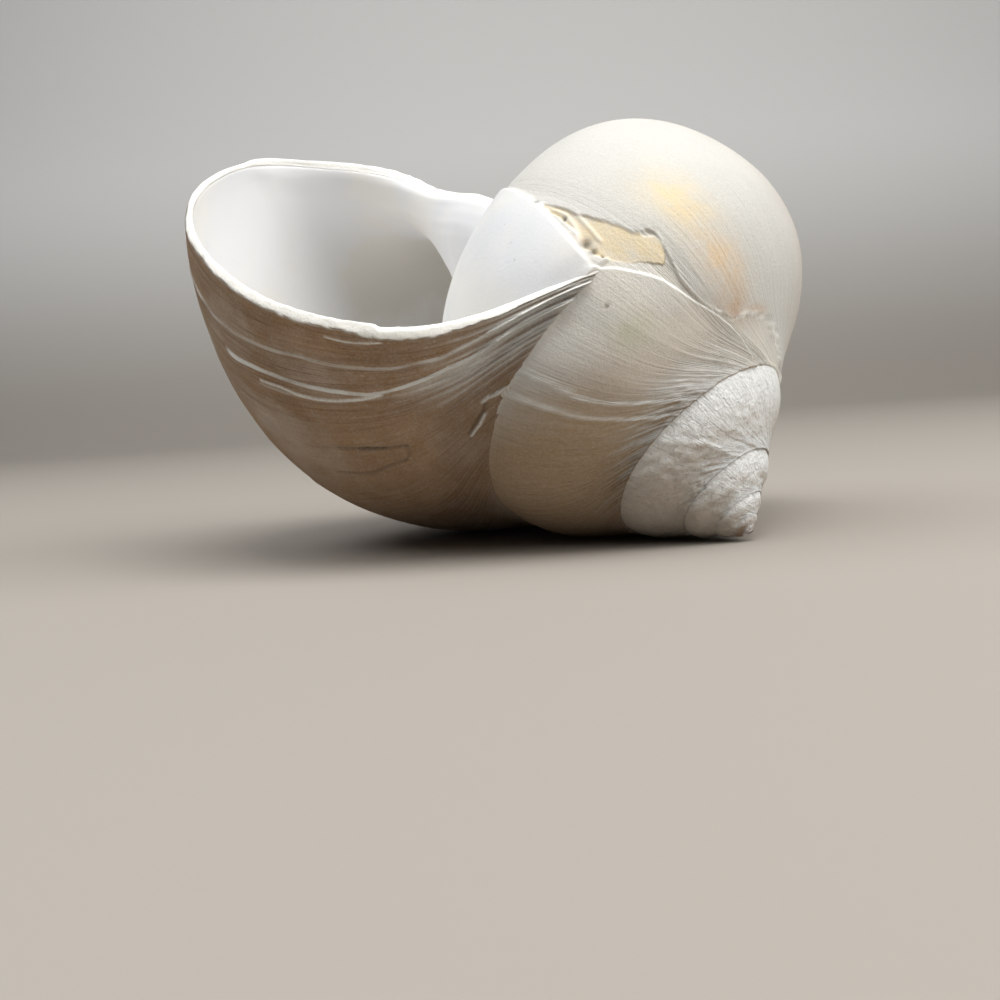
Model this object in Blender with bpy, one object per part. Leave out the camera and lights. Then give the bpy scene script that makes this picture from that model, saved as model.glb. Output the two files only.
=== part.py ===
"""Moon snail shell: one grown piece, a right-handed coiled shell lying with its mouth open upwards.

The wall is one sheet that winds round the shell's own axis. Each turn of it starts on the turn
before, at the suture, and ends on it again inside the navel. The mesh is a loft between such
sections, and a section shares its two edge points with the section one turn earlier, so the whole
shell closes as one body. Lengths are in millimetres until the vertices are made.
"""

import math

import bmesh
import bpy
import numpy as np
from mathutils import Euler, Vector

MM = 0.001
TURN = 2 * math.pi

# Growth of one turn, as a ratio to the turn before
WIDTH_PER_TURN = 1.928
HEIGHT_PER_TURN = 1.988
TURNS = 4.2

# Half section of the last turn, as the control points of a smooth curve: distance from the axis
# and distance below the tip. It runs from the suture over the shoulder and the base to the navel.
WHORL_OUTLINE = (
    (36.0, 34.5), (44.0, 43.0), (60.0, 53.5), (73.0, 73.0), (73.0, 100.5), (62.0, 129.0),
    (42.5, 144.0), (25.5, 141.5), (12.0, 125.5), (4.5, 100.5), (7.5, 63.5),
)
# The same at the mouth, which the shell takes on over the last part of a turn
MOUTH_OUTLINE = (
    (36.0, 37.0), (42.0, 44.0), (57.0, 52.5), (70.0, 70.5), (70.5, 97.5), (58.5, 125.0),
    (38.0, 140.0), (23.0, 137.5), (11.5, 124.5), (8.0, 104.5), (16.0, 73.0),
)
MOUTH_TURNS = 0.8

# How far the lip lies back at each of those points, in degrees round the axis
LIP_SWEEP = (0, 34, 45, 52, 57, 64, 72, 84, 80, 51, 0)
SWEEP_TURNS = 0.6

# Wall, columella and the callus laid on the turn inside the mouth
WALL = 2.3
LIP_EDGE = 1.8
COLUMELLA_EDGE = 3.2
LIP_TAPER = 25.0
COLUMELLA_WALL = 4.5
WALL_GROWTH = 0.7
CALLUS = 1.2
CALLUS_EDGE = 24.0

# How far the hollow and the navel go in
HOLLOW_TURNS = 1.7
NAVEL_TURNS = 1.9

# Relief: growth ridges as (degrees behind the lip, half width in degrees, height), and the step
# where the chalky outer layer has flaked off the older turns
RIDGES = ((8.9, 3.0, 0.6), (18.9, 4.0, 0.45))
LEDGE_AGE = 310.0
LEDGE_WIDTH = 5.0
LEDGE_FADE = 80.0
LEDGE_HEIGHT = 0.5

# Mesh: sections in a turn, and points across each stretch of a section
SECTIONS = 32
SPIRE_POINTS = 8
BURIED_POINTS = 8
NAVEL_POINTS = 3
FINE_SHARE = 0.4

# How the shell lies, and the depth of the flats worn where it rests
LYING_ANGLES = (-147.2, -31.3, -97.3)
WORN_DEPTH = 0.5

END = len(WHORL_OUTLINE) - 1
SUTURE = SPIRE_POINTS
BURIED_FROM = SUTURE + 1
BURIED_TO = BURIED_FROM + BURIED_POINTS
NAVEL = BURIED_TO + 1
LAST = NAVEL + NAVEL_POINTS


def ease(x):
    """A smooth step from 0 to 1."""
    x = np.clip(x, 0.0, 1.0)
    return x * x * (3 - 2 * x)


def smooth(points, t):
    """The smooth curve of a control polygon, at t from 0 to the polygon's last index."""
    points = np.array(points, float)
    first = 2 * points[:1] - points[1:2]
    last = 2 * points[-1:] - points[-2:-1]
    padded = np.concatenate((first, points, last))
    t = np.asarray(t, float)
    i = np.clip(np.floor(t).astype(int), 0, len(points) - 2)
    u = (t - i).reshape(t.shape + (1,) * (points.ndim - 1))
    weights = (
        (1 - u) ** 3,
        3 * u ** 3 - 6 * u ** 2 + 4,
        -3 * u ** 3 + 3 * u ** 2 + 3 * u + 1,
        u ** 3,
    )
    return sum(weight * padded[i + j] for j, weight in enumerate(weights)) / 6


def section(angle, t):
    """Points of the section at an angle round the axis, 0 at the mouth and negative before it."""
    turn = np.asarray(angle, float)[..., None] / TURN
    mouth = ease(1 + turn / MOUTH_TURNS)
    outline = (1 - mouth) * smooth(WHORL_OUTLINE, t) + mouth * smooth(MOUTH_OUTLINE, t)
    growth = np.concatenate((WIDTH_PER_TURN ** turn, HEIGHT_PER_TURN ** turn), -1)
    return outline * growth


def inward(angle, t):
    """Unit normals of a section that point into its hollow."""
    step = 0.02
    along = section(angle, np.minimum(t + step, END)) - section(angle, np.maximum(t - step, 0))
    normal = np.stack((-along[..., 1], along[..., 0]), -1)
    return normal / np.linalg.norm(normal, axis=-1, keepdims=True)


def sweep(t):
    """How far a growth line lies back at t, in radians."""
    return np.radians(smooth(LIP_SWEEP, t))


def row_angle(row):
    """The angle of a section at its suture end. Sections are closer together behind the lip."""
    turns, step = divmod(row, SECTIONS)
    share = step / SECTIONS
    return -TURN * (turns + FINE_SHARE * share + (1 - FINE_SHARE) * share ** 2)


def angles(row, t):
    """The angle of each point of a section, which leans back like the lip near the mouth."""
    start = row_angle(row)
    return start - sweep(t) * ease(1 + start / TURN / SWEEP_TURNS)


def wall(angle, t):
    """Thickness of the wall: thicker at the columella, and thin at the lip."""
    turn = angle / TURN
    columella = ease((t - 6.5) / 2.5)
    edge = LIP_EDGE + (COLUMELLA_EDGE - LIP_EDGE) * columella
    grown = WALL + (COLUMELLA_WALL - WALL) * columella
    grown = grown * WIDTH_PER_TURN ** (WALL_GROWTH * turn)
    behind_lip = np.degrees(-angle - sweep(t)) / LIP_TAPER
    return edge + (grown - edge) * ease(behind_lip)


def relief(angle, t):
    """Height of the growth ridges, less the step of the flaked layer."""
    age = np.degrees(-angle - sweep(t))
    height = sum(h * np.exp(-((age - at) / width) ** 2) for at, width, h in RIDGES)
    height = height * ease(t / 0.5) * ease((8 - t) / 1.5)
    flaked = ease((age - LEDGE_AGE) / LEDGE_WIDTH) * ease(1 - (age - LEDGE_AGE) / LEDGE_FADE)
    return height - LEDGE_HEIGHT * flaked * ease((4 - t) / 1.0)


def nearest(point, angle, low, high):
    """The parameter of the section's point that lies nearest to another point."""
    t = np.linspace(low, high, 400)
    gap = section(np.full_like(t, angle), t) - point
    return t[np.argmin((gap ** 2).sum(-1))]


def meeting(angle, ts, low, high):
    """Where the inner side of the wall comes out of the turn before.

    The wall is followed along ts, which starts inside the turn before. The result is the
    parameter on the wall and the parameter on the turn before, between low and high.
    """
    here = np.full_like(ts, angle)
    inner = section(here, ts) + wall(here, ts)[:, None] * inward(here, ts)
    before = np.linspace(low, high, 400)
    back = np.full_like(before, angle - TURN)
    curve = section(back, before)
    normal = inward(back, before)
    for t, point in zip(ts, inner):
        gap = point - curve
        i = np.argmin((gap ** 2).sum(-1))
        if gap[i] @ normal[i] < 0:
            return t, before[i]
    raise ValueError("the wall never leaves the turn before")


def seams(row):
    """Where the wall of this row meets the turn before, on both curves and at both ends."""
    angle = row_angle(row)
    start, end = section(np.full(2, angle), np.array((0.0, END)))
    suture = nearest(start, angle - TURN, 1.5, 4.5)
    navel = nearest(end, angle - TURN, 6.5, 9.5)
    wall_from, buried_from = meeting(angle, np.linspace(0, 2, 200), suture, 5)
    wall_to, buried_to = meeting(angle, np.linspace(END, END - 2.5, 200), 5.5, navel)
    return suture, buried_from, buried_to, navel, wall_from, wall_to


def spread(suture, buried_from, buried_to, navel, *rest):
    """Parameters of a section's points, so that the next turn's edges fall on some of them."""
    return np.concatenate((
        np.linspace(0, suture, SPIRE_POINTS + 1),
        np.linspace(buried_from, buried_to, BURIED_POINTS + 1),
        np.linspace(navel, END, NAVEL_POINTS + 1),
    ))


def callus(row, t, bounds):
    """Height of the smooth layer on the turn inside the mouth."""
    before = math.degrees(row_angle(row)) + 360
    laid = ease((CALLUS_EDGE - before) / 6) * ease((before + 150) / 60)
    return CALLUS * laid * ease((t - bounds[1]) / 0.7) * ease((bounds[2] - t) / 0.9)


def place(points, angle):
    """Points of a half section, put at their angle round the upright axis."""
    r, h = points[..., 0], points[..., 1]
    return np.stack((r * np.cos(angle), -r * np.sin(angle), -h), -1)


def outer_points(row, bounds):
    """The outside of a section."""
    t = spread(*bounds)
    angle = angles(row, t)
    height = relief(angle, t) * WIDTH_PER_TURN ** (angle / TURN) + callus(row, t, bounds)
    return place(section(angle, t) - height[:, None] * inward(angle, t), angle)


def inner_points(row, bounds, own):
    """The inside of a section, from where its wall leaves the turn before to where it ends."""
    wall_from, wall_to = own[4:]
    t = wall_from + (wall_to - wall_from) * spread(*bounds) / END
    angle = angles(row, t)
    return place(section(angle, t) + wall(angle, t)[:, None] * inward(angle, t), angle)


class Loft:
    """Vertices and faces of the shell."""

    def __init__(self):
        self.vertices = []
        self.faces = []

    def add(self, point):
        self.vertices.append(point)
        return len(self.vertices) - 1

    def face(self, *corners):
        ring = [c for i, c in enumerate(corners) if c != corners[i - 1]]
        if len(ring) > 2:
            self.faces.append(ring)

    def strip(self, one, other):
        """Faces between two rows of points, with the outside on the left of the first row."""
        for i in range(len(one) - 1):
            self.face(one[i], one[i + 1], other[i + 1], other[i])

    def fan(self, ring, centre):
        middle = self.add(centre)
        for i in range(len(ring) - 1):
            self.face(ring[i], ring[i + 1], middle)

    def centre(self, ring):
        return np.mean([self.vertices[i] for i in ring], axis=0)


def outer_rows(loft, rows, joints):
    """Point numbers of each outer section, whose ends are points of the section a turn before."""
    numbers = {}
    for row in range(rows, -1, -1):
        before = row + SECTIONS
        points = outer_points(row, joints[max(row - SECTIONS, 0)])
        ids = [None] * (LAST + 1)
        if before in numbers:
            ids[0] = numbers[before][SUTURE]
            ids[LAST] = numbers[before][NAVEL]
        for column, point in enumerate(points):
            if ids[column] is None:
                ids[column] = loft.add(point)
        numbers[row] = ids
    return numbers


def inner_rows(loft, rows, joints, outer):
    """Point numbers of each inner section, from one seam on the turn before to the other."""
    numbers = {}
    for row in range(rows + 1):
        before = outer[row + SECTIONS]
        points = inner_points(row, joints[max(row - SECTIONS, 0)], joints[row])
        middle = [loft.add(point) for point in points[1:-1]]
        numbers[row] = [before[BURIED_FROM]] + middle + [before[BURIED_TO]]
    return numbers


def build_shell():
    rows = round(TURNS * SECTIONS)
    hollow = round(HOLLOW_TURNS * SECTIONS)
    navel = round(NAVEL_TURNS * SECTIONS)
    joints = [seams(row) for row in range(rows + 1)]
    loft = Loft()
    outer = outer_rows(loft, rows, joints)
    inner = inner_rows(loft, hollow, joints, outer)

    for row in range(rows):
        here, before = outer[row], outer[row + 1]
        loft.strip(here[:SUTURE + 1], before[:SUTURE + 1])
        if row < SECTIONS:
            loft.strip(here[SUTURE:BURIED_FROM + 1], before[SUTURE:BURIED_FROM + 1])
            loft.strip(here[BURIED_TO:NAVEL + 1], before[BURIED_TO:NAVEL + 1])
        if row < hollow + SECTIONS:
            loft.strip(here[BURIED_FROM:BURIED_TO + 1], before[BURIED_FROM:BURIED_TO + 1])
        if row < navel:
            loft.strip(here[NAVEL:], before[NAVEL:])
    for row in range(hollow):
        loft.strip(inner[row + 1], inner[row])

    rounded = rim(loft, outer[0], inner[0])
    loft.strip(rounded, outer[0])
    loft.strip(inner[0], rounded)

    close_hollow(loft, inner[hollow], outer[hollow + SECTIONS])
    close_end(loft, [outer[row][0] for row in range(rows - SECTIONS, rows + 1)],
              outer[rows][:SUTURE + 1])
    close_end(loft, outer[navel][NAVEL:],
              [outer[row][LAST] for row in range(navel, navel - SECTIONS - 1, -1)])
    return loft


def rim(loft, outside, inside):
    """Points along the middle of the lip's edge, pushed forward so that the edge is round."""
    points = [outside[0]]
    for a, b in zip(outside[1:-1], inside[1:-1]):
        one, other = np.array(loft.vertices[a]), np.array(loft.vertices[b])
        middle = (one + other) / 2
        forward = np.array((middle[1], -middle[0], 0.0))
        forward /= np.linalg.norm(forward)
        points.append(loft.add(middle + forward * np.linalg.norm(one - other) * 0.35))
    points.append(outside[-1])
    return points


def close_hollow(loft, wall_ids, floor_ids):
    """The rounded end of the hollow."""
    ring = floor_ids[BURIED_FROM:BURIED_TO + 1] + wall_ids[-2::-1]
    loft.fan(ring, loft.centre(ring))


def close_end(loft, first, second):
    """The point in which the outside or the navel ends."""
    ring = first + second[1:]
    loft.fan(ring, loft.centre(ring))


def closed_mesh(name, loft):
    """The loft as a mesh in metres, turned the way the shell lies, with worn flats below."""
    turned = Euler([math.radians(angle) for angle in LYING_ANGLES]).to_matrix()
    points = [turned @ Vector(point) for point in loft.vertices]
    low = Vector([min(point[axis] for point in points) for axis in range(3)])
    high = Vector([max(point[axis] for point in points) for axis in range(3)])
    base = Vector(((low.x + high.x) / 2, (low.y + high.y) / 2, low.z + WORN_DEPTH))

    mesh = bpy.data.meshes.new(name)
    mesh.from_pydata([(point - base) * MM for point in points], [], loft.faces)
    shape = bmesh.new()
    shape.from_mesh(mesh)
    bmesh.ops.bisect_plane(
        shape,
        geom=shape.verts[:] + shape.edges[:] + shape.faces[:],
        plane_co=(0, 0, 0),
        plane_no=(0, 0, -1),
        clear_outer=True,
    )
    bmesh.ops.holes_fill(shape, edges=[edge for edge in shape.edges if edge.is_boundary])
    shape.to_mesh(mesh)
    shape.free()
    return mesh


def chalk():
    """Weathered, chalky white shell."""
    material = bpy.data.materials.new("weathered_shell")
    material.use_nodes = True
    surface = material.node_tree.nodes["Principled BSDF"]
    surface.inputs["Base Color"].default_value = (0.72, 0.70, 0.65, 1.0)
    surface.inputs["Roughness"].default_value = 0.75
    surface.inputs["Metallic"].default_value = 0.0
    return material


def main():
    for old in list(bpy.data.objects):
        bpy.data.objects.remove(old)
    collection = bpy.data.collections.new("moon_snail_shell")
    bpy.context.scene.collection.children.link(collection)
    mesh = closed_mesh("shell", build_shell())
    mesh.materials.append(chalk())
    mesh.shade_smooth()
    mesh.set_sharp_from_angle(angle=math.radians(40))
    collection.objects.link(bpy.data.objects.new("shell", mesh))


main()
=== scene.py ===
"""Look of the moon snail shell: a weathered, chalky shell lying with its mouth open upwards.

The fine surface is made from the same growth rule as the solid. A point has an age, the angle in
degrees that the shell has grown since, and a place across the section, t, from the suture (0) over
the shoulder and the base to the navel (10). Growth lines are lines of equal age, so ridges, scars
and stains are all placed by age and t. Lengths are in millimetres until the vertices are made.
"""

import math

import bpy
import numpy as np
from mathutils import Euler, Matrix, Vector


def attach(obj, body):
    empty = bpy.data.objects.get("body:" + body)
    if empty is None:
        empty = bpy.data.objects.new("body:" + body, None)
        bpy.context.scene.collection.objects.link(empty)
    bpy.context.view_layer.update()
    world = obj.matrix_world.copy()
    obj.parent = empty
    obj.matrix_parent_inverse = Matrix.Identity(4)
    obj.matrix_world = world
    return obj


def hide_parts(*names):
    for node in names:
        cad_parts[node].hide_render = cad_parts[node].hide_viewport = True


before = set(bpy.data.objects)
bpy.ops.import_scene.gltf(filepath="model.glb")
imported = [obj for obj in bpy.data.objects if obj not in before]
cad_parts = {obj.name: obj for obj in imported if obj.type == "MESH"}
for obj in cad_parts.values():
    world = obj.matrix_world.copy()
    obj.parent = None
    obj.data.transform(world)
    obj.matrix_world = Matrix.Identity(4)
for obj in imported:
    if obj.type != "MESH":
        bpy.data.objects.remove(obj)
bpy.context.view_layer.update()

MM = 0.001
TURN = 2 * math.pi
FULL = 360.0

# Growth of one turn, the outlines of a whorl and of the mouth as (distance from the axis, distance
# below the tip), and how far the lip lies back at each of their points, all as in the solid
WIDTH_PER_TURN = 1.928
HEIGHT_PER_TURN = 1.988
WHORL_OUTLINE = (
    (36.0, 34.5), (44.0, 43.0), (60.0, 53.5), (73.0, 73.0), (73.0, 100.5), (62.0, 129.0),
    (42.5, 144.0), (25.5, 141.5), (12.0, 125.5), (4.5, 100.5), (7.5, 63.5),
)
MOUTH_OUTLINE = (
    (36.0, 37.0), (42.0, 44.0), (57.0, 52.5), (70.0, 70.5), (70.5, 97.5), (58.5, 125.0),
    (38.0, 140.0), (23.0, 137.5), (11.5, 124.5), (8.0, 104.5), (16.0, 73.0),
)
LIP_SWEEP = (0, 34, 45, 52, 57, 64, 72, 84, 80, 51, 0)
MOUTH_TURNS = 0.8
END = len(WHORL_OUTLINE) - 1

# The largest distance from the axis, and the length across the section of one unit of t there
GIRTH = 70.0
T_LENGTH = 22.0

# Wall
WALL = 2.3
COLUMELLA_WALL = 4.5
WALL_GROWTH = 0.7
LIP_TAPER = 25.0

# How the shell lies, and where the tip of its axis is
LYING_ANGLES = (-147.2, -31.3, -97.3)
LYING = np.array(Euler([math.radians(angle) for angle in LYING_ANGLES]).to_matrix())
TIP = np.array((39.48, -33.85, 0.92))

# Numbers that scatter the cells of the noise: a factor and a start for the seed, a factor for each
# axis, the shifts and factors that mix them, and the bits that are kept. The offset keeps all cells
# above 0.
NOISE_SEED = (7919, 13)
NOISE_AXES = (73856093, 19349663, 83492791)
NOISE_MIX = ((15, 2246822519), (13, 3266489917))
NOISE_LAST_SHIFT = 16
NOISE_BITS = 0xFFFFFF
NOISE_OFFSET = 1000.0


def ease(x):
    """A smooth step from 0 to 1."""
    x = np.clip(x, 0.0, 1.0)
    return x * x * (3 - 2 * x)


def since(x, start, length):
    """A smooth step that leaves 0 at start and reaches 1 one length on."""
    return ease((x - start) / length)


def until(x, stop, length):
    """A smooth step that leaves 1 one length before stop and reaches 0 there."""
    return ease((stop - x) / length)


def bump(x):
    """A smooth hill of height 1 at 0 that falls to nothing at 1 and -1."""
    return ease(1 - np.abs(x))


def smooth(points, t):
    """The smooth curve of a control polygon, at t from 0 to the polygon's last index."""
    points = np.array(points, float)
    first = 2 * points[:1] - points[1:2]
    last = 2 * points[-1:] - points[-2:-1]
    padded = np.concatenate((first, points, last))
    t = np.asarray(t, float)
    i = np.clip(np.floor(t).astype(int), 0, len(points) - 2)
    u = (t - i).reshape(t.shape + (1,) * (points.ndim - 1))
    weights = (
        (1 - u) ** 3,
        3 * u ** 3 - 6 * u ** 2 + 4,
        -3 * u ** 3 + 3 * u ** 2 + 3 * u + 1,
        u ** 3,
    )
    return sum(weight * padded[i + j] for j, weight in enumerate(weights)) / 6


def through(points, x):
    """A line through (x, y) points, read at x."""
    return np.interp(x, [p[0] for p in points], [p[1] for p in points])


def sweep(t):
    """How far a growth line lies back at t, in degrees."""
    return smooth(LIP_SWEEP, t)


def section(age, t):
    """Distance from the axis and below the tip."""
    turn = -(age + sweep(t))[..., None] / FULL
    mouth = ease(1 + turn / MOUTH_TURNS)
    outline = (1 - mouth) * smooth(WHORL_OUTLINE, t) + mouth * smooth(MOUTH_OUTLINE, t)
    return outline * np.concatenate((WIDTH_PER_TURN ** turn, HEIGHT_PER_TURN ** turn), -1)


def place(half, age, t):
    """Points of half sections, put at their angle round the upright axis."""
    angle = np.radians(age + sweep(t))
    r, h = half[..., 0], half[..., 1]
    return np.stack((r * np.cos(angle), r * np.sin(angle), -h), -1)


def surface(age, t):
    """Points of the plain grown form."""
    return place(section(age, t), age, t)


def inward(age, t):
    """Unit normals in the plane of a section, towards its hollow."""
    reach = 0.02
    low, high = np.maximum(t - reach, 0), np.minimum(t + reach, END)
    here = age + sweep(t)
    along = section(here - sweep(high), high) - section(here - sweep(low), low)
    normal = np.stack((-along[..., 1], along[..., 0]), -1)
    return normal / np.linalg.norm(normal, axis=-1, keepdims=True)


def shrunk(age, power=1.0):
    """Size at an age as a share of the size at the lip, or a power of that share."""
    return WIDTH_PER_TURN ** (-power * age / FULL)


def grown_length(age):
    """Length grown since, in millimetres along the girth."""
    return GIRTH * TURN / math.log(WIDTH_PER_TURN) * (1 - shrunk(age))


def hashed(cells, seed):
    """A number from -1 to 1 for each whole-numbered cell."""
    factor, start = NOISE_SEED
    mixed = np.full(cells.shape[:-1], seed * factor + start, np.uint64)
    for axis in range(cells.shape[-1]):
        mixed = mixed ^ (cells[..., axis].astype(np.uint64) * np.uint64(NOISE_AXES[axis]))
    for shift, factor in NOISE_MIX:
        mixed = (mixed ^ (mixed >> np.uint64(shift))) * np.uint64(factor)
    mixed = (mixed ^ (mixed >> np.uint64(NOISE_LAST_SHIFT))) & np.uint64(NOISE_BITS)
    return mixed.astype(float) / (NOISE_BITS // 2) - 1


def noise(*coordinates, seed=0):
    """Smooth noise from -1 to 1 over one, two or three coordinates."""
    points = np.stack(np.broadcast_arrays(*coordinates), -1) + NOISE_OFFSET
    cell = np.floor(points).astype(np.int64)
    part = points - cell
    part = part * part * (3 - 2 * part)
    total = 0
    for corner in np.ndindex(*(2,) * points.shape[-1]):
        weight = np.prod(np.where(corner, part, 1 - part), axis=-1)
        total = total + weight * hashed(cell + np.array(corner), seed)
    return total


def in_space(points, scale, seed, octaves=1):
    """Noise through space, with scale cells to a millimetre, and finer noise half as high on it."""
    total = 0
    for octave in range(octaves):
        finer = np.moveaxis(points, -1, 0) * (scale * 2 ** octave)
        total = total + 0.5 ** octave * noise(*finer, seed=seed + octave)
    return total


# Scars that wander, as (t, age)
UPPER_SCAR = (
    (0.0, 4.0), (0.47, 4.5), (0.76, 5.5), (1.03, 7.1), (1.21, 8.1), (1.46, 8.1), (1.70, 8.5),
    (1.99, 8.1), (2.32, 7.8), (2.52, 7.4), (2.76, 7.8), (2.98, 8.0), (3.23, 8.3), (3.55, 8.6),
    (3.70, 8.0),
)
BRIGHT_SCAR = (
    (0.0, 9.5), (0.47, 9.0), (0.62, 9.8), (0.76, 11.6), (0.92, 12.3), (1.11, 12.3), (1.25, 12.9),
    (1.49, 13.5), (1.68, 14.1), (1.87, 14.4), (2.14, 13.7), (2.33, 13.2), (2.54, 12.9),
    (2.79, 12.5), (3.03, 12.5), (3.26, 12.9),
)
OLD_SCAR = (
    (0.11, 350.7), (0.49, 347.7), (0.87, 345.6), (1.25, 345.1), (1.63, 344.8), (1.97, 345.0),
    (2.31, 344.1), (2.62, 343.6), (2.88, 343.3),
)
OLDER_SCAR = (
    (0.09, 362.0), (0.36, 358.9), (0.79, 355.2), (1.19, 352.6), (1.59, 352.2), (1.97, 351.7),
    (2.27, 351.1), (2.57, 350.7), (2.78, 351.1),
)
SPIRE_SCAR = (
    (0.04, 700.0), (0.24, 689.9), (0.85, 680.9), (1.37, 677.7), (1.78, 678.9), (2.03, 684.0),
    (2.36, 686.5), (3.0, 690.0),
)

# Growth scars, each a low step with its older side proud: (age or line, height by the suture,
# height elsewhere, length of the slope behind it in mm, the last t that it reaches)
SCARS = (
    (2.3, 0.60, 0.06, 1.1, 3.6),
    (4.3, 0.90, 0.10, 1.3, 3.0),
    (6.2, 0.75, 0.05, 1.2, 0.9),
    (UPPER_SCAR, 1.10, 0.32, 2.6, 7.5),
    (10.2, 0.85, 0.08, 1.3, 3.2),
    (BRIGHT_SCAR, 1.35, 0.55, 3.6, 3.35),
    (15.5, 0.85, 0.24, 2.0, 3.0),
    (17.4, 0.80, 0.06, 1.6, 2.2),
    (19.9, 0.70, 0.14, 2.4, 2.6),
    (23.2, 0.51, 0.12, 2.4, 3.6),
    (27.0, 0.42, 0.05, 2.4, 2.0),
    (31.0, 0.27, 0.05, 2.4, 1.6),
    (47.0, 0.20, 0.18, 5.0, 7.0),
    (88.0, 0.20, 0.22, 6.0, 7.0),
    (131.0, 0.20, 0.18, 5.0, 7.0),
    (190.0, 0.20, 0.22, 6.0, 7.0),
    (243.0, 0.15, 0.15, 5.0, 7.0),
    (OLD_SCAR, 0.30, 0.26, 3.0, 3.2),
    (OLDER_SCAR, 0.30, 0.28, 3.5, 3.2),
    (368.0, 0.30, 0.10, 2.0, 1.6),
    (375.0, 0.30, 0.10, 2.0, 2.2),
    (SPIRE_SCAR, 0.50, 0.42, 3.0, 3.2),
)
SUTURE_BAND = 1.5

# A step is this wide. Its crest, part worn chalk and part painted highlight, lies this far behind
# it and shows this far to each side, from a low step's height up to a full one's. Further than FAR
# from a crest there is none.
STEP_WIDTH = 0.45
CREST_BEHIND = 0.3
CREST_REACH = 0.65
CREST_LOW, CREST_RANGE = 0.12, 0.30
FAR = 9.0

# The edge of the chalky outer layer as (age, t), the region without it, and its ragged crust
LAYER_EDGE = (
    (262.0, -0.1), (272.2, 1.17), (277.8, 1.20), (281.1, 1.24), (284.2, 1.31), (288.6, 1.28),
    (293.2, 1.25), (294.1, 1.38), (295.8, 1.51), (297.9, 1.63), (299.1, 1.85), (299.5, 2.06),
    (299.7, 2.21), (298.8, 2.36), (297.7, 2.54), (296.5, 2.72), (295.8, 2.83), (295.0, 2.94),
)
LAYER_GONE = LAYER_EDGE + ((296.0, 3.05), (400.0, 3.05), (400.0, -0.1))
LAYER_HEIGHT = 0.44
CRUST_HEIGHT = 0.30
CRUST_END = 1.75

# The bright step beside it, as (t, age)
STEP_LINE = (
    (0.0, 309.0), (0.25, 304.9), (0.47, 300.9), (0.83, 295.8), (1.16, 294.9), (1.43, 296.2),
    (1.63, 297.9), (1.82, 299.6), (1.99, 300.8), (2.17, 301.6), (2.38, 302.7), (2.56, 304.5),
    (2.74, 306.6), (2.90, 308.2), (3.03, 310.6), (3.3, 313.0),
)
STEP_HEIGHT = 0.42
STEP_SLOPE = 7.0

# The chip beside it, as (age, t), and the edge of the callus on the turn inside the mouth, as
# (t, age)
CHIP = (
    (303.6, 4.32), (303.0, 4.09), (302.4, 3.81), (300.9, 3.54), (299.7, 3.32), (298.6, 3.12),
    (297.0, 2.99), (295.4, 2.93), (295.8, 2.80), (297.5, 2.62), (300.2, 2.55), (303.0, 2.72),
    (305.8, 2.86), (307.6, 3.00), (308.5, 3.12), (309.3, 3.25), (309.0, 3.40), (307.2, 3.56),
    (306.0, 3.85), (304.8, 4.15),
)
CHIP_DEPTH = 0.35
CHIP_SLOPE = 0.3
CALLUS_EDGE = (
    (3.0, 311.5), (3.38, 309.6), (3.84, 307.0), (4.57, 302.0), (5.5, 296.0), (7.5, 292.0),
)
CALLUS_START = 2.95
CALLUS_HEIGHT = 0.75

# Thin raised strips, as (width, height) and (age, t) points
STRIPS = (
    ((0.7, 0.30), ((303.9, 4.30), (303.9, 3.95), (305.3, 3.74), (306.8, 3.60))),
    ((0.6, 0.22), ((302.6, 3.80), (304.1, 3.54), (305.3, 3.32))),
    ((0.55, 0.40), ((35.0, 0.44), (34.7, 0.38), (36.3, 0.29), (36.8, 0.23))),
    ((0.50, 0.35), ((36.2, 0.27), (37.0, 0.19), (37.6, 0.13))),
    ((0.45, 0.30), ((41.6, 0.33), (42.5, 0.34), (44.4, 0.37), (45.8, 0.48))),
    ((0.50, 0.20), ((15.0, 2.91), (14.9, 2.71), (15.6, 2.50), (15.9, 2.33), (15.9, 2.13),
                    (15.6, 1.93), (15.0, 1.74))),
    ((0.30, 0.12), ((2.9, 2.34), (3.3, 2.16), (3.2, 2.00), (2.9, 1.87))),
)

# Cracks, as (width, depth) and (age, t) points. Dirt and painted shade fill them, most where this
# deep, and spread this much wider.
CRACKS = (
    ((0.45, 0.38), ((29.1, 2.17), (29.3, 2.01), (29.7, 1.87), (30.5, 1.73), (31.2, 1.58),
                    (32.2, 1.42))),
    ((0.55, 0.35), ((29.5, 1.94), (30.1, 1.80), (30.7, 1.68))),
    ((0.30, 0.20), ((29.0, 2.55), (29.0, 2.31), (29.1, 2.17))),
    ((0.40, 0.34), ((36.9, 2.29), (37.2, 2.15), (37.7, 2.03), (38.3, 1.88), (37.5, 1.75),
                    (36.9, 1.61), (37.1, 1.45))),
    ((0.30, 0.25), ((37.1, 1.45), (35.6, 1.39), (33.5, 1.39), (32.2, 1.42))),
    ((0.34, 0.32), ((36.8, 0.39), (40.1, 0.38), (41.7, 0.46), (44.1, 0.52))),
)
DARKEST_DEPTH = 0.6
CRACK_DIRT_AND_SHADE_REACH = 1.5
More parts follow.
